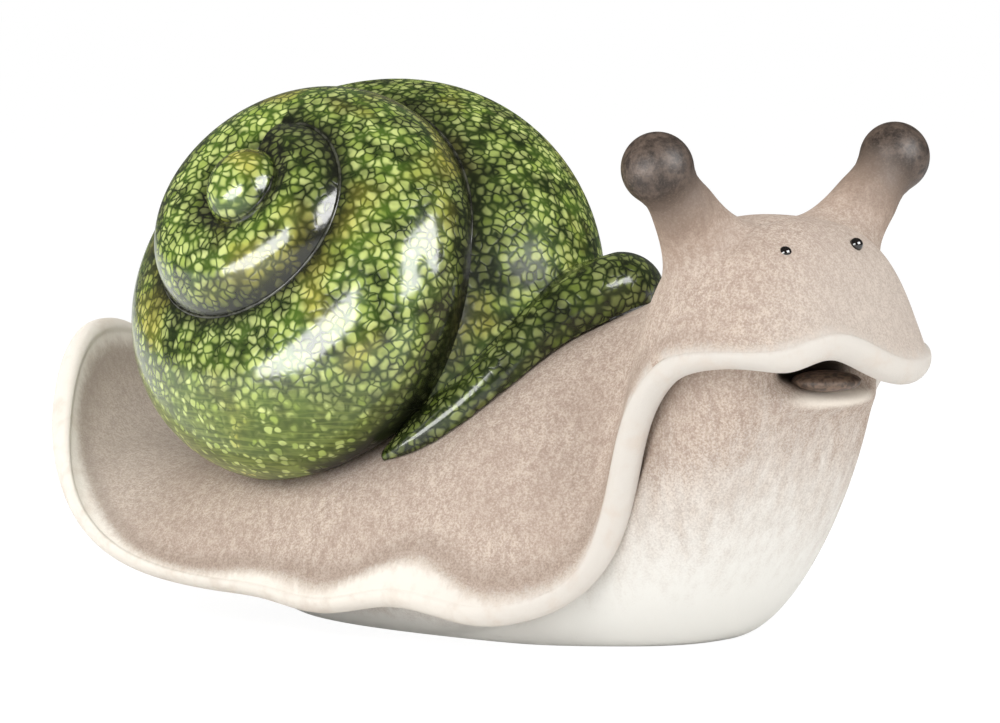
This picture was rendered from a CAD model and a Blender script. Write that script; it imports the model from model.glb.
import math
import bpy
import numpy as np
from mathutils import Matrix, Vector


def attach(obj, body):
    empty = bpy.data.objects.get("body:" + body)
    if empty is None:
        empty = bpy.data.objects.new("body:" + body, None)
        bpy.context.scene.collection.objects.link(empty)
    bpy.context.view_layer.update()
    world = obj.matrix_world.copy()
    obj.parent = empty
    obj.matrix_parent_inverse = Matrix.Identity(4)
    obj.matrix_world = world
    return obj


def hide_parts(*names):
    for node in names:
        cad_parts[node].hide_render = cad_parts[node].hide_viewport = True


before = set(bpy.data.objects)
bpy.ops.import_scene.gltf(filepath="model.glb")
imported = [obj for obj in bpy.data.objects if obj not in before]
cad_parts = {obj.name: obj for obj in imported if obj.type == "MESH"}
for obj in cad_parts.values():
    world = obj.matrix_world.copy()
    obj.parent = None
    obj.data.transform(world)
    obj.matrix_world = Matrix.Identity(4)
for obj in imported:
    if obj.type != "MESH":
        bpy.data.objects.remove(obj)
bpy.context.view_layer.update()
print("frame loaded")

# Lengths in the settings are millimetres; meshes are made in metres.
mm = 0.001


def hexColour(text):
    channels = np.array([int(text[k:k + 2], 16) for k in (1, 3, 5)]) / 255
    linear = np.where(channels <= 0.04045, channels / 12.92, ((channels + 0.055) / 1.055) ** 2.4)
    return (*linear.tolist(), 1.0)


def smoothStep(value, low, high):
    t = np.clip((value - low) / (high - low), 0, 1)
    return t * t * (3 - 2 * t)


def unit(vectors):
    return vectors / np.linalg.norm(vectors, axis=-1, keepdims=True)


def splineRows(rows, u):
    # Natural cubic spline through equally spaced rows, read at the places u from 0 to 1.
    rows = np.asarray(rows, float)
    count = len(rows)
    system = np.eye(count)
    right = np.zeros_like(rows)
    for k in range(1, count - 1):
        system[k, k - 1:k + 2] = (1, 4, 1)
        right[k] = 6 * (rows[k - 1] - 2 * rows[k] + rows[k + 1])
    bend = np.linalg.solve(system, right)
    s = np.clip(u, 0, 1) * (count - 1)
    k = np.minimum(s.astype(int), count - 2)
    f = (s - k)[..., None]
    g = 1 - f
    line = g * rows[k] + f * rows[k + 1]
    return line + ((g ** 3 - g) * bend[k] + (f ** 3 - f) * bend[k + 1]) / 6


def gridPiece(name, points, material, node, tags=None):
    # Rows of points closed round, with a fan to the mean point at each end. Faces look outward.
    rows, cols = points.shape[:2]
    ends = np.stack([points[0].mean(0), points[-1].mean(0)])
    places = np.concatenate([points.reshape(-1, 3), ends]) * mm
    index = np.arange(rows * cols).reshape(rows, cols)
    beside = np.roll(index, -1, axis=1)
    quads = np.stack([index[:-1], beside[:-1], beside[1:], index[1:]], -1).reshape(-1, 4)
    first = np.stack([np.full(cols, rows * cols), beside[0], index[0]], -1)
    last = np.stack([np.full(cols, rows * cols + 1), index[-1], beside[-1]], -1)
    corners = places[quads]
    volume = np.einsum("ij,ij->i", corners[:, 0], np.cross(corners[:, 1], corners[:, 2])).sum()
    volume += np.einsum("ij,ij->i", corners[:, 0], np.cross(corners[:, 2], corners[:, 3])).sum()
    faces = [quads, first, last]
    if volume < 0:
        faces = [k[:, ::-1] for k in faces]
    mesh = bpy.data.meshes.new(name)
    mesh.from_pydata(places.tolist(), [], [row for k in faces for row in k.tolist()])
    mesh.polygons.foreach_set("use_smooth", [True] * len(mesh.polygons))
    for key, values in (tags or {}).items():
        values = np.broadcast_to(values, (rows, cols))
        full = np.concatenate([values.ravel(), [values[0].mean(), values[-1].mean()]])
        mesh.attributes.new(key, "FLOAT", "POINT").data.foreach_set("value", full.astype(np.float32))
    mesh.update()
    piece = bpy.data.objects.new(name, mesh)
    bpy.context.scene.collection.objects.link(piece)
    mesh.materials.append(material)
    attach(piece, "root")
    if node:
        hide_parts(node)


def eased(points, amount, rounds):
    # Each point is drawn to the mean of its four neighbours on the grid, by an amount from 0 to 1.
    for k in range(rounds):
        near = (np.roll(points, 1, axis=1) + np.roll(points, -1, axis=1)) / 4
        near[1:-1] += (points[2:] + points[:-2]) / 4
        near[[0, -1]] *= 2
        points = points + amount[..., None] * (near - points)
    return points


def addNode(tree, kind, inputs=None, output=0, **settings):
    # One shader node. Inputs go by name or number, and each is a value or another node's output.
    node = tree.nodes.new("ShaderNode" + kind)
    for key, value in settings.items():
        setattr(node, key, value)
    for key, value in (inputs or {}).items():
        if isinstance(value, bpy.types.NodeSocket):
            tree.links.new(value, node.inputs[key])
        else:
            node.inputs[key].default_value = value
    return node.outputs[output]


# Settings that many nodes share: an eased ramp, a mix of two colours, a product, and a * b + c.
easedRamp = {"interpolation_type": "SMOOTHSTEP"}
colours = {"output": 2, "data_type": "RGBA"}
product = {"operation": "MULTIPLY"}
productSum = {"operation": "MULTIPLY_ADD"}


def newMaterial(name):
    material = bpy.data.materials.new(name)
    material.use_nodes = True
    tree = material.node_tree
    return material, tree, tree.nodes["Principled BSDF"]


# Body sheet: eleven ribs from tail to lip, each a cubic Bezier from the spine to the rim.
body = {
    "length": 340.0, "halfWidth": 75.0, "height": 150.0, "thickness": 9.0, "rimRadius": 5.2,
    "headTurn": 18.0, "pivotX": 105.0, "turnStartX": 50.0, "turnEndX": 130.0,
    "waveHeight": 5.0, "waveLength": 73.0, "waveStartX": 5.0, "waveIn": (-48.0, -22.0), "waveOut": (34.0, 72.0),
    "waveReach": 0.55, "mouthArch": 11.5, "mouthHalfWidth": 21.0, "mouthAside": -14.0,
    "mouthFrom": 0.84, "lipSwell": 1.3, "lipSpread": 0.6,
    "tailRoundness": 2.6, "headSquareness": 4.0,
}
spineX = (-0.504, -0.459, -0.350, -0.176, 0.0, 0.141, 0.253, 0.329, 0.400, 0.471, 0.524)
spineZ = (0.633, 0.427, 0.333, 0.393, 0.493, 0.675, 0.790, 0.955, 0.987, 0.935, 0.680)
shoulderY = (0.24, 0.35, 0.51, 0.71, 0.79, 0.62, 0.32, 0.35, 0.53, 0.53, 0.45)
skirtX = (-0.499, -0.451, -0.338, -0.171, 0.006, 0.165, 0.274, 0.326, 0.379, 0.444, 0.509)
skirtY = (0.48, 0.63, 0.77, 0.87, 0.87, 0.75, 0.57, 0.54, 0.56, 0.54, 0.45)
skirtZ = (0.600, 0.353, 0.220, 0.260, 0.340, 0.330, 0.413, 0.720, 0.867, 0.773, 0.653)
rimX = (-0.478, -0.427, -0.322, -0.165, 0.012, 0.202, 0.303, 0.347, 0.385, 0.424, 0.476)
rimY = (0.74, 0.88, 0.96, 0.99, 1.00, 0.94, 0.73, 0.69, 0.69, 0.68, 0.59)
rimZ = (0.527, 0.253, 0.107, 0.087, 0.107, 0.113, 0.240, 0.493, 0.620, 0.667, 0.667)
ribRows = np.concatenate([
    np.array((spineX, skirtX, rimX)).T * body["length"],
    np.array((shoulderY, skirtY, rimY)).T * body["halfWidth"],
    np.array((spineZ, skirtZ, rimZ)).T * body["height"]], axis=1)


def turned(p):
    a = -math.radians(body["headTurn"]) * smoothStep(p[..., 0], body["turnStartX"], body["turnEndX"])
    dx, dy = p[..., 0] - body["pivotX"], p[..., 1]
    x = body["pivotX"] + dx * np.cos(a) - dy * np.sin(a)
    return np.stack([x, dx * np.sin(a) + dy * np.cos(a), p[..., 2]], -1)


def sheet(u, v, reach):
    # u runs from tail to lip, v from the spine at 0 to the rim at 1; the rim ripples along the sides.
    c = splineRows(ribRows, u)
    t = np.abs(v)
    w0, w1, w2, w3 = (1 - t) ** 3, 3 * (1 - t) ** 2 * t, 3 * (1 - t) * t ** 2, t ** 3
    x = (w0 + w1) * c[..., 0] + w2 * c[..., 1] + w3 * c[..., 2]
    y = w1 * c[..., 3] + w2 * c[..., 4] + w3 * c[..., 5]
    z = (w0 + w1) * c[..., 6] + w2 * c[..., 7] + w3 * c[..., 8]
    lift = np.clip((reach - body["waveReach"]) / (1 - body["waveReach"]), 0, 1) ** 2
    ripple = body["waveHeight"] * np.sin(2 * math.pi * (x - body["waveStartX"]) / body["waveLength"])
    ripple = ripple * smoothStep(x, *body["waveIn"]) * (1 - smoothStep(x, *body["waveOut"]))
    y = -np.sign(v) * y
    arch = body["mouthArch"] * np.exp(-((y - body["mouthAside"]) / body["mouthHalfWidth"]) ** 2) * (u > body["mouthFrom"])
    return turned(np.stack([x, y, z + lift * (ripple + arch)], -1))


def middle(reach, phi):
    # Rings round the sheet: a rounded outline in u and v, 0 degrees at the lip, 180 at the tail.
    c, s = np.cos(phi), np.sin(phi)
    n = np.where(c > 0, body["headSquareness"], body["tailRoundness"])
    r = reach * (np.abs(c) ** n + np.abs(s) ** n) ** (-1 / n)
    return sheet((1 + r * c) / 2, r * s, reach)


def frameAt(reach, phi):
    # Upward normal and outward direction of the sheet.
    step = 1e-3
    out = middle(reach + step, phi) - middle(reach - step, phi)
    around = middle(reach, phi + step) - middle(reach, phi - step)
    return unit(np.cross(around, out)), unit(out)


def sheetPatch(u, v, lift):
    # Points over the sheet at the places u and v, at a height over its middle.
    n, step = body["headSquareness"], 1e-3

    def at(a, b):
        return sheet(a, b, (np.abs(2 * a - 1) ** n + np.abs(b) ** n) ** (1 / n))

    up = np.cross(at(u, v + step) - at(u, v - step), at(u + step, v) - at(u - step, v))
    return at(u, v) + lift * unit(up)


def headPoint(ahead, left, up):
    a = math.radians(body["headTurn"])
    x = body["pivotX"] + ahead * math.cos(a) + left * math.sin(a)
    return np.array([x, left * math.cos(a) - ahead * math.sin(a), up])


# Stoneware of the body: cream slip with a sandy brown wash that stops short of the rim. Matte and grainy.
wash = {
    "white": "#dbd4ca", "cream": "#c8c2ba", "sand": "#c3b4a6", "umber": "#998679", "deep": "#7b6b5e",
    "speckle": 0.75, "fibre": 2.2, "fibreSquash": 0.4, "cloud": 22.0, "smudge": 9.0, "grain": 0.12,
    "edgeStart": 3.0, "edge": 8.0, "edgeNoise": 9.0, "deepShare": 0.75,
}


def sandyTone(tree):
    # Fine specks over short upright fibres, umber to sand, with broad umber clouds.
    where = addNode(tree, "TexCoord", output="Object")
    upright = addNode(tree, "Mapping", {"Vector": where, "Scale": (1, 1, wash["fibreSquash"])})
    speckle = addNode(tree, "TexNoise", {
        "Vector": where, "Scale": 1 / (wash["speckle"] * mm), "Detail": 3.0, "Roughness": 0.7})
    fibre = addNode(tree, "TexNoise", {
        "Vector": upright, "Scale": 1 / (wash["fibre"] * mm), "Detail": 4.0, "Roughness": 0.65})
    cloud = addNode(tree, "TexNoise", {"Vector": where, "Scale": 1 / (wash["cloud"] * mm), "Detail": 3.0})
    grain = addNode(tree, "Math", {0: fibre, 1: 0.6, 2: speckle}, **productSum)
    grainy = addNode(tree, "MapRange", {0: grain, 1: 0.6, 2: 1.02}, **easedRamp)
    tone = addNode(tree, "Mix", {0: grainy, 6: hexColour(wash["umber"]), 7: hexColour(wash["sand"])}, **colours)
    cloudy = addNode(tree, "MapRange", {0: cloud, 1: 0.35, 2: 0.75, 4: 0.3}, **easedRamp)
    tone = addNode(tree, "Mix", {0: cloudy, 6: tone, 7: hexColour(wash["umber"])}, **colours)
    return where, tone, speckle, fibre


bodyClay, tree, shader = newMaterial("sandy_wash_stoneware")
inward = addNode(tree, "Attribute", output="Fac", attribute_name="inward")
shade = addNode(tree, "Attribute", output="Fac", attribute_name="shade")
pale = addNode(tree, "Attribute", output="Fac", attribute_name="pale")
whiter = addNode(tree, "Attribute", output="Fac", attribute_name="whiter")
where, tone, speckle, fibre = sandyTone(tree)
shade = addNode(tree, "Math", {0: shade, 1: wash["deepShare"]}, **product)
tone = addNode(tree, "Mix", {0: shade, 6: tone, 7: hexColour(wash["deep"])}, **colours)
tone = addNode(tree, "Mix", {0: pale, 6: tone, 7: hexColour(wash["cream"])}, **colours)
uneven = addNode(tree, "Math", {0: fibre, 1: wash["edgeNoise"], 2: inward}, **productSum)
washed = addNode(tree, "MapRange", {0: uneven, 1: wash["edgeStart"], 2: wash["edgeStart"] + wash["edge"]}, **easedRamp)
smudge = addNode(tree, "TexNoise", {
    "Vector": where, "Scale": 1 / (wash["smudge"] * mm), "Detail": 4.0, "Roughness": 0.6})
smudge = addNode(tree, "MapRange", {0: smudge, 1: 0.44, 2: 0.72, 4: 0.45}, **easedRamp)
slip = addNode(tree, "Mix", {0: whiter, 6: hexColour(wash["cream"]), 7: hexColour(wash["white"])}, **colours)
slip = addNode(tree, "Mix", {0: smudge, 6: slip, 7: hexColour(wash["sand"])}, **colours)
tone = addNode(tree, "Mix", {0: washed, 6: slip, 7: tone}, **colours)
height = addNode(tree, "Math", {0: speckle, 1: fibre})
bump = addNode(tree, "Bump", {"Height": height, "Strength": 1.0, "Distance": wash["grain"] * mm})
tree.links.new(tone, shader.inputs["Base Color"])
tree.links.new(bump, shader.inputs["Normal"])
shader.inputs["Roughness"].default_value = 0.82
shader.inputs["Specular IOR Level"].default_value = 0.25

# Mantle: rings out over the top of the sheet, round the rolled rim and back along the underside.
mantle = {
    "around": 360, "topRings": 150, "rimRings": 14, "underRings": 50,
    "slipRises": ((7.0, -138.0, 30.0), (5.0, -40.0, 18.0), (9.5, 21.0, 28.0)),
}
half = body["thickness"] / 2
phi = np.arange(mantle["around"]) * 2 * math.pi / mantle["around"]
reachTop = np.linspace(0.01, 1.0, mantle["topRings"]) ** 0.85
reachUnder = np.linspace(1.0, 0.02, mantle["underRings"])[1:]
reach, angle = np.meshgrid(np.concatenate([reachTop[:-1], reachUnder]), phi, indexing="ij")
up = frameAt(reach, angle)[0]
side = np.concatenate([np.full(len(reachTop) - 1, half), np.full(len(reachUnder), -half)])
flat = middle(reach, angle) + side[:, None, None] * up
edge = np.ones_like(phi)
up, out = frameAt(edge - 2e-3, phi)
roll = np.linspace(0, math.pi, mantle["rimRings"])[:, None, None]
fat = body["rimRadius"] + body["lipSwell"] * np.exp(-(np.angle(np.exp(1j * phi)) / body["lipSpread"]) ** 2)
bead = middle(edge, phi) + fat[:, None] * (np.cos(roll) * up + np.sin(roll) * out)
topCount = len(reachTop) - 1
points = np.concatenate([flat[:topCount], bead, flat[topCount:]])
steps = np.linalg.norm(np.diff(points, axis=0), axis=-1)
travel = np.concatenate([np.zeros((1, len(phi))), np.cumsum(steps, axis=0)])
inwardTag = travel[topCount] - travel
for k in range(8):
    points = (np.roll(points, 1, axis=1) + 2 * points + np.roll(points, -1, axis=1)) / 4
points = eased(points, smoothStep(inwardTag, 5, 14), 12)
x = points[..., 0]
# The slip comes further up the skirt in three places, each a bell of a height, a place along x and a spread.
slipTag = inwardTag - sum(tall * np.exp(-((x - place) / spread) ** 2) for tall, place, spread in mantle["slipRises"])
shadeTag = 0.05 * smoothStep(-x, 110, 165) + 0.5 * np.exp(-((slipTag - 8) / 6) ** 2) - 0.45 * smoothStep(x, 90, 150)
gridPiece("mantle_slab", points, bodyClay, "mantle", {
    "inward": slipTag, "shade": np.clip(shadeTag, 0, 1),
    "pale": 0.35 * smoothStep(x, 145, 180) + 0.25 * smoothStep(-x, 80, 150),
    "whiter": 1 - smoothStep(x, 10, 90)})
print("mantle made")

# Underbody: walls from the underside of the sheet down to the flat foot, with the mouth pressed in.
throat = {
    "centreX": 18.0, "halfLength": 88.0, "halfWidth": 46.0, "squareness": 2.4, "wall": 8.0,
    "frontShare": 0.86, "neckShare": 0.94, "nearAngles": (15.0, 50.0), "farAngles": (45.0, 85.0),
    "drawIn": 0.39, "drawInAngles": (75.0, 180.0), "drop": 0.45, "swell": 0.19, "sideFlat": 0.5, "heel": 0.06, "step": 1.0,
    "cavityShare": 0.88, "skin": 7.0, "gap": 0.9, "mouthDepth": 15.0, "mouthTurn": -0.07, "mouthAngle": 0.26, "mouthUp": 100.0,
    "mouthHalfHeight": 5.0, "lowerLip": 6.0, "lowerLipAngle": 0.32, "lowerLipUp": 90.0, "lowerLipHalfHeight": 4.5,
    "paintUp": 91.0, "paintHalfHeight": 4.0,
    "around": 300, "wallRings": 150,
}


def wallReach(angle, share):
    turn = np.abs(np.degrees(np.angle(np.exp(1j * angle))))
    near = smoothStep(turn, *throat["nearAngles"])
    rise = np.where(np.sin(angle) > 0, near, smoothStep(turn, *throat["farAngles"]))
    top = throat["frontShare"] + (throat["neckShare"] - throat["frontShare"]) * rise
    return share * (top - throat["drawIn"] * smoothStep(turn, *throat["drawInAngles"]))


def wallPoints(t, angle, inset, share, lift):
    # A Bezier at each angle, from the sheet down to the foot's outline.
    reach = wallReach(angle, share)
    p0 = middle(reach, angle) + lift * frameAt(reach, angle)[0]
    c, s = np.cos(angle), np.sin(angle)
    n = throat["squareness"]
    r = (np.abs(c) ** n + np.abs(s) ** n) ** (-1 / n)
    x = throat["centreX"] + (throat["halfLength"] - inset) * r * c
    p3 = turned(np.stack([x, -(throat["halfWidth"] - inset) * r * s, 0 * c], -1))
    out = np.stack([c, -s, 0 * c], -1)
    height = p0[..., 2:3]
    rise = np.concatenate([0 * height, 0 * height, height], -1)
    p1 = p0 - throat["drop"] * rise + throat["step"] * out
    swell = throat["swell"] * (1 - throat["sideFlat"] * s ** 2)[..., None]
    p2 = p3 + swell * height * out + throat["heel"] * rise
    t = t[..., None]
    g = 1 - t
    p = g ** 3 * p0 + 3 * g ** 2 * t * p1 + 3 * g * t ** 2 * p2 + t ** 3 * p3
    # The mouth is a hollow pressed in under the lip, over a lower lip that stands out a little.
    aside = np.angle(np.exp(1j * (angle - throat["mouthTurn"])))
    press = np.exp(-(aside / throat["mouthAngle"]) ** 2
                   - ((p[..., 2] - throat["mouthUp"]) / throat["mouthHalfHeight"]) ** 2)
    ridge = np.exp(-(aside / throat["lowerLipAngle"]) ** 2
                   - ((p[..., 2] - throat["lowerLipUp"]) / throat["lowerLipHalfHeight"]) ** 2)
    painted = np.exp(-(aside / throat["lowerLipAngle"]) ** 2
                   - ((p[..., 2] - throat["paintUp"]) / throat["paintHalfHeight"]) ** 2)
    return p + (throat["lowerLip"] * ridge - throat["mouthDepth"] * press)[..., None] * out, press, painted


# Cream slip on the throat: the wash fades down it in upright streaks; the mouth is dark, the lower lip pale.
throatSlip = {
    "slip": "#e0ded8", "mouth": "#33291f", "lip": "#e4dbce", "lipShare": 0.85, "streak": 4.5, "streakSquash": 1 / 7,
    "streakNoise": 0.38, "speckNoise": 0.2, "fade": (0.43, 1.01), "grain": 0.1,
}
throatClay, tree, shader = newMaterial("cream_slip_stoneware")
fall = addNode(tree, "Attribute", output="Fac", attribute_name="fall")
mouth = addNode(tree, "Attribute", output="Fac", attribute_name="mouth")
lower = addNode(tree, "Attribute", output="Fac", attribute_name="lower")
where, sandy, speckle, fibre = sandyTone(tree)
upright = addNode(tree, "Mapping", {"Vector": where, "Scale": (1, 1, throatSlip["streakSquash"])})
streak = addNode(tree, "TexNoise", {
    "Vector": upright, "Scale": 1 / (throatSlip["streak"] * mm), "Detail": 4.0, "Roughness": 0.6})
patchy = addNode(tree, "Math", {0: streak, 1: throatSlip["streakNoise"], 2: fall}, **productSum)
patchy = addNode(tree, "Math", {0: speckle, 1: throatSlip["speckNoise"], 2: patchy}, **productSum)
faded = addNode(tree, "MapRange", {0: patchy, 1: throatSlip["fade"][0], 2: throatSlip["fade"][1]}, **easedRamp)
tone = addNode(tree, "Mix", {0: faded, 6: sandy, 7: hexColour(throatSlip["slip"])}, **colours)
tone = addNode(tree, "Mix", {0: mouth, 6: tone, 7: hexColour(throatSlip["mouth"])}, **colours)
lower = addNode(tree, "Math", {0: lower, 1: throatSlip["lipShare"]}, **product)
tone = addNode(tree, "Mix", {0: lower, 6: tone, 7: hexColour(throatSlip["lip"])}, **colours)
height = addNode(tree, "Math", {0: speckle, 1: streak})
bump = addNode(tree, "Bump", {"Height": height, "Strength": 1.0, "Distance": throatSlip["grain"] * mm})
tree.links.new(tone, shader.inputs["Base Color"])
tree.links.new(bump, shader.inputs["Normal"])
shader.inputs["Roughness"].default_value = 0.8
shader.inputs["Specular IOR Level"].default_value = 0.25

phi = np.arange(throat["around"]) * 2 * math.pi / throat["around"]
capShares = np.array([0.05, 0.2, 0.35, 0.5, 0.65, 0.78, 0.9])
parts, falls, mouths, lowers = [], [], [], []
for inset, share, lift, rings in ((0.0, 1.0, -half - throat["gap"], throat["wallRings"]),
                                  (throat["wall"], throat["cavityShare"], -half - throat["skin"], 40)):
    k, angle = np.meshgrid(capShares, phi, indexing="ij")
    capReach = k * wallReach(angle, share)
    cap = middle(capReach, angle) + lift * frameAt(capReach, angle)[0]
    t, angle = np.meshgrid(np.linspace(0, 1, rings), phi, indexing="ij")
    wall, press, painted = wallPoints(t, angle, inset, share, lift)
    order = 1 if inset == 0 else -1
    parts.append(np.concatenate([cap, wall])[::order])
    falls.append(np.concatenate([np.zeros_like(k), t])[::order])
    mouths.append(np.concatenate([np.zeros_like(k), press])[::order])
    lowers.append(np.concatenate([np.zeros_like(k), painted])[::order])
gridPiece("underbody_wall", np.concatenate(parts), throatClay, "underbody", {
    "fall": np.concatenate(falls), "mouth": smoothStep(np.concatenate(mouths), 0.2, 0.6),
    "lower": smoothStep(np.concatenate(lowers), 0.3, 0.8)})
print("underbody made")

# Shell: a coil whose radius, drop and tube radius are cubics in the turns, over a dome, with a ball on top.
shell = {
    "tilt": 35.7, "yaw": -4.9, "apex": (-50.4, -86.5, 169.7), "size": 100.0,
    "radiusTerms": (0.187, -0.049, 0.150, -0.036), "dropTerms": (0.378, -0.235, 0.375, -0.0677),
    "tubeTerms": (0.168, -0.0374, 0.186, -0.0483), "firstTurn": 0.25, "lastTurn": 2.70, "coreGap": 3.0,
    "ballRadius": 13.5, "ballDrop": 20.0, "domeDrop": 90.0, "domeRadius": 74.0, "domeDepth": 64.0,
    "along": 620, "around": 110, "fullness": 0.2, "fullTurn": 1.66, "fullSpread": 0.12,
    "taper": 0.3, "taperTurns": (2.45, 2.7), "ballWide": 1.03, "ballTall": 1.14, "seatLift": 8.4, "lipLift": 5.2,
}
tilt, yaw = math.radians(shell["tilt"]), math.radians(shell["yaw"])
axis = np.array([math.sin(yaw) * math.cos(tilt), -math.cos(yaw) * math.cos(tilt), math.sin(tilt)])
across = unit(np.cross([0, 0, 1], axis))
upright = np.cross(axis, across)
apex = np.array(shell["apex"])


def growth(terms, n):
    return shell["size"] * (terms[0] + terms[1] * n + terms[2] * n ** 2 + terms[3] * n ** 3)


def coilCentre(n):
    a = 2 * math.pi * n[..., None]
    away = upright * np.sin(a) - across * np.cos(a)
    return apex - growth(shell["dropTerms"], n)[..., None] * axis + growth(shell["radiusTerms"], n)[..., None] * away, away


def coilPoints(n, psi):
    # Round outside, drawn in towards the axis inside.
    centre, away = coilCentre(n)
    tube, radius = growth(shell["tubeTerms"], n), growth(shell["radiusTerms"], n)
    tube = tube * (1 - shell["taper"] * smoothStep(n, *shell["taperTurns"]))
    inner = np.minimum(tube, radius - shell["coreGap"])
    outer = tube * (1 + shell["fullness"] * np.exp(-((n - shell["fullTurn"]) / shell["fullSpread"]) ** 2))
    reach = np.where(np.cos(psi) > 0, outer, inner) * np.cos(psi)
    return centre + reach[..., None] * away + (tube * np.sin(psi))[..., None] * axis


def nextWhorl(p, n, step):
    # Gap between a point and the tube one turn on or back, for the dark line along the suture.
    other = np.clip(n + step, shell["firstTurn"], shell["lastTurn"])
    away = np.linalg.norm(p - coilCentre(other)[0], axis=-1) - growth(shell["tubeTerms"], other)
    return np.where(other == n + step, np.maximum(away, 0), 1e3)


def seatGrid(lift, cell=1.5):
    # Height of the body under the shell on a square grid of places, with a lift over the sheet's middle.
    u, v = np.meshgrid(np.linspace(0.03, 0.74, 420), np.linspace(-0.98, 0.98, 320), indexing="ij")
    p = sheetPatch(u, v, lift).reshape(-1, 3)
    low = p[:, :2].min(0)
    index = ((p[:, :2] - low) / cell).astype(int)
    heights = np.full(index.max(0) + 2, -1e3)
    heights[index[:, 0], index[:, 1]] = p[:, 2]
    return low, cell, heights


def seated(p, seat):
    # Points under the seat are lifted to it, read between the four nearest places of the grid.
    low, cell, heights = seat
    q = (p[..., :2] - low) / cell - 0.5
    size = np.array(heights.shape) - 2
    k = np.clip(np.floor(q).astype(int), 0, size)
    f = np.clip(q - k, 0, 1)
    near = [heights[k[..., 0] + i, k[..., 1] + j] for i in (0, 1) for j in (0, 1)]
    parts = [(1 - f[..., 0], f[..., 0]), (1 - f[..., 1], f[..., 1])]
    floor = sum(near[2 * i + j] * parts[0][i] * parts[1][j] for i in (0, 1) for j in (0, 1))
    floor = np.where(np.min(near, axis=0) < 0, -1e3, floor)
    return np.concatenate([p[..., :2], np.maximum(p[..., 2], floor)[..., None]], -1)


shellSeat = seatGrid(shell["seatLift"])
lipSeat = seatGrid(shell["lipLift"])

# Thick gloss glaze: round pale blobs in a green web, yellower in places, dark where it has run into the sutures.
# Low on the shell the blobs are loose dots on a brushed ground, and the last turn is duller.
glaze = {
    "pitch": 3.5, "randomness": 0.85, "wobble": 0.0024, "wobbleSize": 3.2, "patch": 34.0, "drift": 11.0,
    "brush": 1.1, "brushSquash": 1 / 12, "relief": 0.12, "coatRelief": 0.01,
    "leaf": "#90a348", "lime": "#c6d083", "gold": "#bcab4a", "moss": "#455e1c", "forest": "#1d2b0a",
    "ochre": "#75722a", "olive": "#515f24", "brushed": "#76833c", "groove": "#12140b",
    "edgeShade": 9.0, "pitShade": 7.0, "backShade": 0.75, "backReach": 6.0, "lastReach": 11.0, "lastTurns": (1.8, 2.2),
    "sutureBack": 3.0, "sutureOn": 3.5, "bellyHeights": (70.0, 105.0), "dullTurns": (2.0, 2.25), "dullBelly": 0.6,
}
shellGlaze, tree, shader = newMaterial("speckled_green_glaze")
suture = addNode(tree, "Attribute", output="Fac", attribute_name="suture")
under = addNode(tree, "Attribute", output="Fac", attribute_name="under")
belly = addNode(tree, "Attribute", output="Fac", attribute_name="belly")
dull = addNode(tree, "Attribute", output="Fac", attribute_name="dull")
where = addNode(tree, "TexCoord", output="Object")
wobble = addNode(tree, "TexNoise", {
    "Vector": where, "Scale": 1 / (glaze["wobbleSize"] * mm), "Detail": 0.0}, output="Color")
bent = addNode(tree, "Mix", {0: glaze["wobble"], 4: where, 5: wobble}, output=1, data_type="VECTOR")
cellular = {"Vector": bent, "Scale": 1 / (glaze["pitch"] * mm), "Randomness": glaze["randomness"]}
cells = addNode(tree, "TexVoronoi", cellular, output="Distance", feature="F1")
web = addNode(tree, "TexVoronoi", cellular, output="Distance", feature="DISTANCE_TO_EDGE")
chance = addNode(tree, "SeparateColor", {0: cells.node.outputs["Color"]})
patch = addNode(tree, "TexNoise", {"Vector": where, "Scale": 1 / (glaze["patch"] * mm), "Detail": 2.0})
drift = addNode(tree, "TexNoise", {"Vector": where, "Scale": 1 / (glaze["drift"] * mm), "Detail": 3.0})
# Loose dots are discs of random size; packed blobs are cells with rounded corners.
size = addNode(tree, "Math", {0: chance, 1: 0.34, 2: 0.16}, **productSum)
dots = addNode(tree, "Math", {0: cells, 1: size}, operation="SUBTRACT")
dots = addNode(tree, "MapRange", {0: dots, 1: -0.14, 2: 0.08, 3: 1.0, 4: 0.0}, **easedRamp)
packed = addNode(tree, "MapRange", {0: web, 1: 0.0, 2: 0.2}, **easedRamp)
corners = addNode(tree, "MapRange", {0: cells, 1: 0.3, 2: 0.75, 3: 1.0, 4: 0.1}, **easedRamp)
packed = addNode(tree, "Math", {0: packed, 1: corners}, **product)
loose = addNode(tree, "Math", {0: belly, 1: 0.85}, **product)
blob = addNode(tree, "Mix", {0: loose, 2: packed, 3: dots})
shown = blob
for value, low, high, newLow, newHigh in ((drift, 0.34, 0.58, 0.42, 1.0), (under, 0.0, 1.0, 1.0, 0.3),
                                          (belly, 0.0, 1.0, 1.0, 1.15)):
    share = addNode(tree, "MapRange", {0: value, 1: low, 2: high, 3: newLow, 4: newHigh}, **easedRamp)
    shown = addNode(tree, "Math", {0: shown, 1: share}, **product)
yellow = addNode(tree, "MapRange", {0: patch, 1: 0.52, 2: 0.68, 4: 0.6}, **easedRamp)
light = addNode(tree, "Mix", {
    0: chance.node.outputs[1], 6: hexColour(glaze["leaf"]), 7: hexColour(glaze["lime"])}, **colours)
light = addNode(tree, "Mix", {0: yellow, 6: light, 7: hexColour(glaze["gold"])}, **colours)
greener = addNode(tree, "MapRange", {0: drift, 1: 0.35, 2: 0.65}, **easedRamp)
dark = addNode(tree, "Mix", {0: greener, 6: hexColour(glaze["forest"]), 7: hexColour(glaze["moss"])}, **colours)
dark = addNode(tree, "Mix", {0: yellow, 6: dark, 7: hexColour(glaze["ochre"])}, **colours)
level = addNode(tree, "Mapping", {"Vector": where, "Scale": (glaze["brushSquash"], glaze["brushSquash"], 1)})
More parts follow.
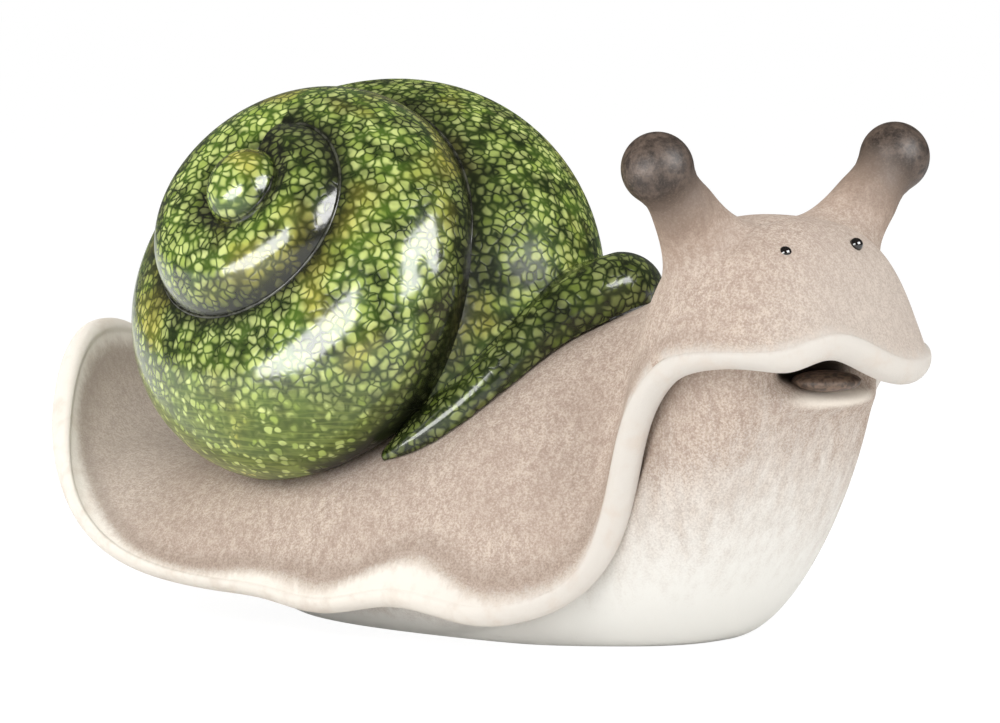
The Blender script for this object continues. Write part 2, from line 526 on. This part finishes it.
brushed = addNode(tree, "TexNoise", {"Vector": level, "Scale": 1 / (glaze["brush"] * mm), "Detail": 2.0})
brushed = addNode(tree, "MapRange", {0: brushed, 1: 0.42, 2: 0.62}, **easedRamp)
ground = addNode(tree, "Mix", {0: brushed, 6: hexColour(glaze["olive"]), 7: hexColour(glaze["brushed"])}, **colours)
grounded = addNode(tree, "Math", {0: belly, 1: 0.8}, **product)
dark = addNode(tree, "Mix", {0: grounded, 6: dark, 7: ground}, **colours)
dark = addNode(tree, "Mix", {0: under, 6: dark, 7: hexColour(glaze["groove"])}, **colours)
tone = addNode(tree, "Mix", {0: shown, 6: dark, 7: light}, **colours)
tone = addNode(tree, "Mix", {0: suture, 6: tone, 7: hexColour(glaze["groove"])}, **colours)
rough = addNode(tree, "MapRange", {0: dull, 3: 0.22, 4: 0.35}, **easedRamp)
coat = addNode(tree, "MapRange", {0: dull, 3: 1.0, 4: 0.1}, **easedRamp)
tree.links.new(tone, shader.inputs["Base Color"])
tree.links.new(rough, shader.inputs["Roughness"])
tree.links.new(coat, shader.inputs["Coat Weight"])
shader.inputs["Specular IOR Level"].default_value = 0.15
shader.inputs["Coat Roughness"].default_value = 0.13
for socket, depth in (("Normal", glaze["relief"]), ("Coat Normal", glaze["coatRelief"])):
    bump = addNode(tree, "Bump", {"Height": blob, "Strength": 1.0, "Distance": depth * mm})
    tree.links.new(bump, shader.inputs[socket])

n, psi = np.meshgrid(np.linspace(shell["firstTurn"], shell["lastTurn"], shell["along"]),
                     np.arange(shell["around"]) * 2 * math.pi / shell["around"], indexing="ij")
points = coilPoints(n, psi)
ball = apex - shell["ballDrop"] * axis
ballGap = np.maximum(np.linalg.norm(points - ball, axis=-1) - shell["ballRadius"], 0)
gapBack = np.minimum(nextWhorl(points, n, -1), ballGap)
gapOn = nextWhorl(points, n, 1)
points = seated(points, shellSeat)
low = 1 - smoothStep(points[..., 2], *glaze["bellyHeights"])
backReach = glaze["backReach"] + glaze["lastReach"] * smoothStep(n, *glaze["lastTurns"])
shadows = np.exp(-(gapOn / glaze["edgeShade"]) ** 2) + np.exp(-(ballGap / glaze["pitShade"]) ** 2)
shadows = shadows + glaze["backShade"] * np.exp(-(gapBack / backReach) ** 2)
gridPiece("shell_whorls", points, shellGlaze, "shell_coil", {
    "suture": np.maximum(np.exp(-gapBack / glaze["sutureBack"]), np.exp(-gapOn / glaze["sutureOn"])),
    "under": np.clip(shadows, 0, 1), "belly": low,
    "dull": np.maximum(smoothStep(n, *glaze["dullTurns"]), glaze["dullBelly"] * low)})

# Thin ridge along the suture: on each section, the first place from the outside that meets the turn before or the ball.
ridge = {"radius": 0.6, "along": 700, "around": 10, "lastTurn": 2.5}
n, psi = np.meshgrid(np.linspace(shell["firstTurn"] + 0.2, ridge["lastTurn"], ridge["along"]),
                     np.linspace(0, math.pi, 400), indexing="ij")
points = coilPoints(n, psi)
gap = np.minimum(nextWhorl(points, n, -1), np.maximum(np.linalg.norm(points - ball, axis=-1) - shell["ballRadius"], 0))
meets = np.argmax(gap < 0.3, axis=1)
meets = np.where((gap < 0.3).any(axis=1), meets, np.argmin(gap, axis=1))
kernel = np.hanning(41) / np.hanning(41).sum()
meets = np.convolve(np.pad(meets.astype(float), 20, mode="edge"), kernel, mode="valid")
line = coilPoints(n[:, 0], meets * math.pi / 399)
way = unit(np.gradient(line, axis=0))
outward = unit(np.cross(way, np.cross(axis, way)))
a = (np.arange(ridge["around"]) * 2 * math.pi / ridge["around"])[None, :, None]
points = line[:, None] + ridge["radius"] * (np.cos(a) * outward[:, None] + np.sin(a) * np.cross(way, outward)[:, None])
# Glaze pooled in the suture: near black, in places grey.
ridgeGlaze, tree, shader = newMaterial("dark_suture_glaze")
where = addNode(tree, "TexCoord", output="Object")
greyer = addNode(tree, "TexNoise", {"Vector": where, "Scale": 1 / (5.0 * mm), "Detail": 3.0})
greyer = addNode(tree, "MapRange", {0: greyer, 1: 0.4, 2: 0.65}, **easedRamp)
tone = addNode(tree, "Mix", {0: greyer, 6: hexColour("#191a12"), 7: hexColour("#47483c")}, **colours)
tree.links.new(tone, shader.inputs["Base Color"])
shader.inputs["Roughness"].default_value = 0.25
gridPiece("shell_suture_ridge", seated(points, shellSeat), ridgeGlaze, None)


def ellipsoid(centre, radii, axes, rows, cols):
    # Latitude rings from pole to pole.
    t, a = np.meshgrid(np.linspace(0.02, math.pi - 0.02, rows), np.arange(cols) * 2 * math.pi / cols, indexing="ij")
    local = np.stack([np.sin(t) * np.cos(a) * radii[0], np.sin(t) * np.sin(a) * radii[1], np.cos(t) * radii[2]], -1)
    return centre + local @ np.stack(axes)


shellAxes = (across, upright, axis)
points = seated(ellipsoid(apex - shell["domeDrop"] * axis, (shell["domeRadius"], shell["domeRadius"], shell["domeDepth"]),
                          shellAxes, 90, 160), shellSeat)
gridPiece("shell_back", points, shellGlaze, None, {
    "suture": 0.0, "under": 0.0, "belly": 1 - smoothStep(points[..., 2], *glaze["bellyHeights"])})
ballRadii = shell["ballRadius"] * np.array([shell["ballWide"], shell["ballTall"], 1.0])
points = ellipsoid(ball, ballRadii, shellAxes, 60, 90)
height = (points - ball) @ axis
gridPiece("shell_apex", points, shellGlaze, None, {
    "suture": np.exp(-np.maximum(height - 1, 0) / 1.5), "under": np.exp(-(np.maximum(height, 0) / 5) ** 2), "belly": 0.0})

# Rolled lip round the opening of the shell: round sections strung on a spline.
lip = {
    "x": (0.006, 0.046, 0.085, 0.115, 0.146, 0.178, 0.160, 0.112, 0.053, -0.018),
    "y": (-0.77, -0.71, -0.57, -0.41, -0.20, 0.03, 0.30, 0.51, 0.64, 0.69),
    "z": (0.427, 0.483, 0.568, 0.662, 0.757, 0.813, 0.787, 0.707, 0.617, 0.533),
    "radius": 13.5, "shares": (0.10, 0.38, 0.56, 0.68, 0.82, 1.00, 0.92, 0.77, 0.54, 0.31),
    "along": 220, "around": 72, "drawOut": 2.6, "core": 95.0,
}
lipRows = np.stack([np.array(lip["x"]) * body["length"], np.array(lip["y"]) * body["halfWidth"],
                    np.array(lip["z"]) * body["height"], np.array(lip["shares"]) * lip["radius"]], -1)
line = splineRows(lipRows, np.linspace(0, 1, lip["along"]))
way = unit(np.gradient(line[:, :3], axis=0))
inwards = apex - lip["core"] * axis - line[:, :3]
inwards = unit(inwards - (inwards * way).sum(-1, keepdims=True) * way)
above = np.cross(way, inwards)
a = (np.arange(lip["around"]) * 2 * math.pi / lip["around"])[None, :, None]
deep = np.where(np.cos(a) > 0, lip["drawOut"], 1.0) * np.cos(a)
valley = np.sign(np.sin(a)) * (1 - np.abs(np.cos(a))) ** 1.2
tall = np.where(np.cos(a) > 0, 0.5 * valley + 0.5 * np.sin(a), np.sin(a))
points = line[:, None, :3] + line[:, None, 3:] * (deep * inwards[:, None] + tall * above[:, None])
gridPiece("shell_lip_roll", seated(points, lipSeat), shellGlaze, "shell_lip", {
    "suture": 0.0, "under": 0.75, "belly": 0.15, "dull": 0.4})
print("shell made")

# Eye stalks: a fillet that leaves the head along its skin, a narrowing cone, and a bulb run into it.
stalk = {
    "u": 0.80, "v": 0.36, "footLength": 0.07, "footWidth": 0.27, "root": (30.0, 27.0, 139.0), "bulb": (32.0, 54.5, 171.0),
    "bulbRadius": 12.4, "radius": 9.0, "flare": 5.0, "flareLength": 9.0, "start": 17.0, "filletEnd": 24.0, "innerShare": 0.62,
    "toneStart": 8.0, "runIn": 7.0, "around": 96, "filletRings": 30, "rings": 90,
}
# Brown wash on the stalks, dark grey-brown with a slight sheen on the bulbs.
stalkWash = {
    "brown": "#937c6a", "dark": "#2d241e", "bulb": "#5a4c42", "speck": "#6f6055", "mottle": 4.0, "mottleShare": 0.5,
    "brownRange": (0.15, 0.7), "brownShare": 0.7, "darkRange": (0.5, 1.13),
}
stalkClay, tree, shader = newMaterial("brown_wash_stoneware")
along = addNode(tree, "Attribute", output="Fac", attribute_name="along")
where, tone, speckle, fibre = sandyTone(tree)
mottle = addNode(tree, "TexNoise", {
    "Vector": where, "Scale": 1 / (stalkWash["mottle"] * mm), "Detail": 4.0, "Roughness": 0.65})
reached = addNode(tree, "Math", {0: mottle, 1: stalkWash["mottleShare"], 2: along}, **productSum)
low, high = stalkWash["brownRange"]
browner = addNode(tree, "MapRange", {0: reached, 1: low, 2: high, 4: stalkWash["brownShare"]})
tone = addNode(tree, "Mix", {0: browner, 6: tone, 7: hexColour(stalkWash["brown"])}, **colours)
low, high = stalkWash["darkRange"]
darker = addNode(tree, "MapRange", {0: reached, 1: low, 2: high})
mottled = addNode(tree, "MapRange", {0: mottle, 1: 0.35, 2: 0.68}, **easedRamp)
bulbTone = addNode(tree, "Mix", {
    0: mottled, 6: hexColour(stalkWash["dark"]), 7: hexColour(stalkWash["bulb"])}, **colours)
specked = addNode(tree, "MapRange", {0: speckle, 1: 0.45, 2: 0.75, 4: 0.4}, **easedRamp)
bulbTone = addNode(tree, "Mix", {0: specked, 6: bulbTone, 7: hexColour(stalkWash["speck"])}, **colours)
tone = addNode(tree, "Mix", {0: darker, 6: tone, 7: bulbTone}, **colours)
rough = addNode(tree, "MapRange", {0: along, 1: 0.5, 2: 0.9, 3: 0.75, 4: 0.48}, **easedRamp)
height = addNode(tree, "Math", {0: speckle, 1: fibre})
bump = addNode(tree, "Bump", {"Height": height, "Strength": 1.0, "Distance": wash["grain"] * mm})
tree.links.new(tone, shader.inputs["Base Color"])
tree.links.new(rough, shader.inputs["Roughness"])
tree.links.new(bump, shader.inputs["Normal"])
shader.inputs["Specular IOR Level"].default_value = 0.35

for name, hand in (("right", -1), ("left", 1)):
    root = headPoint(stalk["root"][0], hand * stalk["root"][1], stalk["root"][2])
    bulb = headPoint(stalk["bulb"][0], hand * stalk["bulb"][1], stalk["bulb"][2])
    length = np.linalg.norm(bulb - root)
    way = (bulb - root) / length
    a = np.arange(stalk["around"]) * 2 * math.pi / stalk["around"]
    foot = [sheetPatch(stalk["u"] + k * stalk["footLength"] * np.cos(a),
                       -hand * stalk["v"] + k * stalk["footWidth"] * np.sin(a), lift)
            for k, lift in ((1.0, half - 0.5), (stalk["innerShare"], half + 0.6))]
    ahead = foot[0][0] - foot[0][len(a) // 2]
    ahead = unit(ahead - ahead.dot(way) * way)
    aside = np.cross(way, ahead)
    aside = aside * np.sign(aside.dot(foot[0][len(a) // 4] - foot[0][3 * len(a) // 4]))
    ring = np.cos(a)[:, None] * ahead + np.sin(a)[:, None] * aside
    d = np.linspace(0, 1, stalk["rings"])
    d = stalk["filletEnd"] + (length + stalk["bulbRadius"] - stalk["filletEnd"]) * np.sin(d * math.pi / 2)[:-1]
    cone = stalk["radius"] + stalk["flare"] * np.exp(-(d - stalk["start"]) / stalk["flareLength"])
    cone = cone * (1 - smoothStep(d, length - 9, length + 3))
    ball = np.sqrt(np.maximum(stalk["bulbRadius"] ** 2 - (d - length) ** 2, 0))
    r = (cone ** stalk["runIn"] + ball ** stalk["runIn"]) ** (1 / stalk["runIn"])
    rings = root + d[:, None, None] * way + r[:, None, None] * ring
    t = np.linspace(0, 1, stalk["filletRings"])[:-1, None, None]
    fillet = (1 - t) ** 2 * foot[0] + 2 * t * (1 - t) * foot[1] + t ** 2 * rings[0]
    rings = np.concatenate([fillet, rings])
    d = np.concatenate([stalk["filletEnd"] * t[:, 0, 0], d])
    soft = np.zeros(len(rings))
    soft[2:len(fillet) + 12] = 1
    rings = eased(rings, np.broadcast_to(soft[:, None], rings.shape[:2]), 10)
    alongTag = np.clip((d - stalk["toneStart"]) / (length - stalk["toneStart"]), 0, 1)
    gridPiece(name + "_stalk_and_bulb", rings, stalkClay, name + "_eye_stalk", {
        "along": alongTag[:, None]})

# Eyes: glossy black beads set in the face.
eyes = {"u": 0.897, "v": 0.145, "aside": 0.033, "radius": 2.4, "proud": 0.6}
eyeGlaze, tree, shader = newMaterial("black_bead_glaze")
shader.inputs["Roughness"].default_value = 0.12
shader.inputs["Coat Weight"].default_value = 0.6
where = addNode(tree, "TexCoord", output="Object")
cloudy = addNode(tree, "TexNoise", {"Vector": where, "Scale": 1 / (0.8 * mm), "Detail": 2.0})
tone = addNode(tree, "Mix", {0: cloudy, 6: hexColour("#0b0a09"), 7: hexColour("#1d1916")}, **colours)
tree.links.new(tone, shader.inputs["Base Color"])
for name, hand in (("right", -1), ("left", 1)):
    u, v, step = np.array(eyes["u"]), np.array(eyes["aside"] - hand * eyes["v"]), 1e-3
    place = sheet(u, v, np.array(0.0))
    alongWay = sheet(u + step, v, np.array(0.0)) - sheet(u - step, v, np.array(0.0))
    acrossWay = sheet(u, v + step, np.array(0.0)) - sheet(u, v - step, np.array(0.0))
    outWay = unit(np.cross(acrossWay, alongWay))
    alongWay = unit(alongWay)
    centre = place + (half + eyes["proud"]) * outWay
    points = ellipsoid(centre, (eyes["radius"],) * 3, (alongWay, np.cross(outWay, alongWay), outWay), 40, 48)
    gridPiece(name + "_bead_eye", points, eyeGlaze, name + "_eye")

# Tongue: a lens inside the mouth.
tongue = {"ahead": 54.0, "left": 3.0, "up": 97.0, "radii": (12.0, 12.0, 3.6)}
tongueClay, tree, shader = newMaterial("brown_mouth_stain")
where = addNode(tree, "TexCoord", output="Object")
stain = addNode(tree, "TexNoise", {"Vector": where, "Scale": 1 / (2.0 * mm), "Detail": 4.0})
stain = addNode(tree, "MapRange", {0: stain, 1: 0.35, 2: 0.65}, **easedRamp)
tone = addNode(tree, "Mix", {0: stain, 6: hexColour("#42352b"), 7: hexColour("#745f4f")}, **colours)
grain = addNode(tree, "TexNoise", {"Vector": where, "Scale": 1 / (1.2 * mm), "Detail": 3.0})
bump = addNode(tree, "Bump", {"Height": grain, "Strength": 1.0, "Distance": 0.1 * mm})
tree.links.new(tone, shader.inputs["Base Color"])
tree.links.new(bump, shader.inputs["Normal"])
shader.inputs["Roughness"].default_value = 0.6
a = math.radians(body["headTurn"])
tongueAxes = (np.array([math.cos(a), -math.sin(a), 0]), np.array([math.sin(a), math.cos(a), 0]), np.array([0, 0, 1]))
gridPiece("tongue_lens", ellipsoid(headPoint(tongue["ahead"], tongue["left"], tongue["up"]), tongue["radii"], tongueAxes, 40, 64),
          tongueClay, "tongue")

# Bare clay on the sole and on the bed under the shell.
bareClay, tree, shader = newMaterial("unglazed_clay")
where = addNode(tree, "TexCoord", output="Object")
sandy = addNode(tree, "TexNoise", {"Vector": where, "Scale": 1 / (1.0 * mm), "Detail": 4.0, "Roughness": 0.7})
sandy = addNode(tree, "MapRange", {0: sandy, 1: 0.35, 2: 0.7}, **easedRamp)
tone = addNode(tree, "Mix", {0: sandy, 6: hexColour("#a98f78"), 7: hexColour("#cdb8a1")}, **colours)
grain = addNode(tree, "TexNoise", {"Vector": where, "Scale": 1 / (0.8 * mm), "Detail": 3.0})
bump = addNode(tree, "Bump", {"Height": grain, "Strength": 1.0, "Distance": 0.15 * mm})
tree.links.new(tone, shader.inputs["Base Color"])
tree.links.new(bump, shader.inputs["Normal"])
shader.inputs["Roughness"].default_value = 0.9
for node in ("sole_plate", "shell_bed"):
    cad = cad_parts[node]
    cad.data.materials.clear()
    cad.data.materials.append(bareClay)
print("small pieces made")

# Floor and light: a white studio; the floor shows white to the camera and keeps a soft shadow.
floorPaint, tree, shader = newMaterial("studio_floor")
shader.inputs["Base Color"].default_value = hexColour("#f4f4f4")
shader.inputs["Roughness"].default_value = 0.9
camera = addNode(tree, "LightPath", output="Is Camera Ray")
seen = addNode(tree, "Math", {0: camera, 1: camera.node.outputs["Is Transmission Ray"]}, operation="MAXIMUM")
share = addNode(tree, "Math", {0: seen, 1: 0.87}, **product)
glow = addNode(tree, "Emission", {"Color": (1, 1, 1, 1), "Strength": 1.08})
blended = addNode(tree, "MixShader", {0: share, 1: shader.outputs[0], 2: glow})
tree.links.new(blended, tree.nodes["Material Output"].inputs["Surface"])
floorMesh = bpy.data.meshes.new("floor")
floorMesh.from_pydata([(-6, -6, 0), (6, -6, 0), (6, 6, 0), (-6, 6, 0)], [], [(0, 1, 2, 3)])
floorMesh.materials.append(floorPaint)
floor = bpy.data.objects.new("floor", floorMesh)
bpy.context.scene.collection.objects.link(floor)

world = bpy.data.worlds.new("studio")
bpy.context.scene.world = world
world.use_nodes = True
tree = world.node_tree
camera = addNode(tree, "LightPath", output="Is Camera Ray")
seen = addNode(tree, "Math", {0: camera, 1: camera.node.outputs["Is Transmission Ray"]}, operation="MAXIMUM")
mirrored = addNode(tree, "MapRange", {0: camera.node.outputs["Is Glossy Ray"], 3: 0.55, 4: 0.1})
strength = addNode(tree, "Mix", {0: seen, 2: mirrored, 3: 1.0})
tree.nodes["Background"].inputs["Color"].default_value = (1, 1, 1, 1)
tree.links.new(strength, tree.nodes["Background"].inputs["Strength"])

# Each lamp: name, place, aim, long side's direction, width, height, watts, and the rays that don't see it.
# The window and the strip are only mirrored in the glaze; the others only light.
lamps = (
    ("right", (1.18, -0.10, 0.55), (-1.18, 0.1, -0.46), (0, 1, 0), 0.8, 0.9, 6.6, "visible_glossy"),
    ("front", (0.25, -1.20, 0.95), (-0.25, 1.2, -0.86), (1, 0, 0), 0.6, 0.6, 7.0, "visible_glossy"),
    ("left", (-1.10, -0.80, 0.60), (1.1, 0.8, -0.5), (1, -1, 0), 0.6, 0.6, 9.0, "visible_glossy"),
    ("top", (-0.1, 0.2, 1.5), (0.1, -0.2, -1.41), (1, 0, 0), 0.9, 0.6, 7.0, "visible_glossy"),
    ("low", (0.15, -1.10, 0.14), (-0.1, 1.1, -0.10), (1, 0, 0), 0.9, 0.2, 1.7, "visible_glossy"),
    ("window", (1.09, -0.10, 0.65), (-1.09, 0.04, -0.5), (0, 1, 0), 0.85, 0.62, 24.0, "visible_diffuse"),
    ("strip", (-0.05, -1.00, 0.22), (0.05, 1.0, -0.1), (0.96, 0.03, 0.57), 1.1, 0.40, 20.0, "visible_diffuse"),
)
for name, place, aim, along, width, tall, power, hidden in lamps:
    lampData = bpy.data.lights.new(name, "AREA")
    lampData.shape = "RECTANGLE"
    lampData.size, lampData.size_y, lampData.energy = width, tall, power
    lamp = bpy.data.objects.new(name, lampData)
    lamp.location = place
    behind = -Vector(aim).normalized()
    beside = (Vector(along) - Vector(along).dot(behind) * behind).normalized()
    lamp.rotation_euler = Matrix((beside, behind.cross(beside), behind)).transposed().to_euler()
    lamp.visible_camera = False
    setattr(lamp, hidden, False)
    bpy.context.scene.collection.objects.link(lamp)

view = {"azimuth": 34.0, "elevation": 6.0, "distance": 1600.0, "aim": (13.0, 0.0, 94.0), "lens": 158.4}
azimuth, elevation = math.radians(view["azimuth"]), math.radians(view["elevation"])
back = Vector((math.sin(azimuth) * math.cos(elevation), -math.cos(azimuth) * math.cos(elevation), math.sin(elevation)))
cameraData = bpy.data.cameras.new("camera")
cameraData.lens = view["lens"]
cameraData.sensor_width = 36.0
camera = bpy.data.objects.new("camera", cameraData)
camera.location = (Vector(view["aim"]) + back * view["distance"]) * mm
camera.rotation_euler = (-back).to_track_quat("-Z", "Y").to_euler()
bpy.context.scene.collection.objects.link(camera)
bpy.context.scene.camera = camera
bpy.context.scene.view_settings.view_transform = "Standard"

print("scene ready")
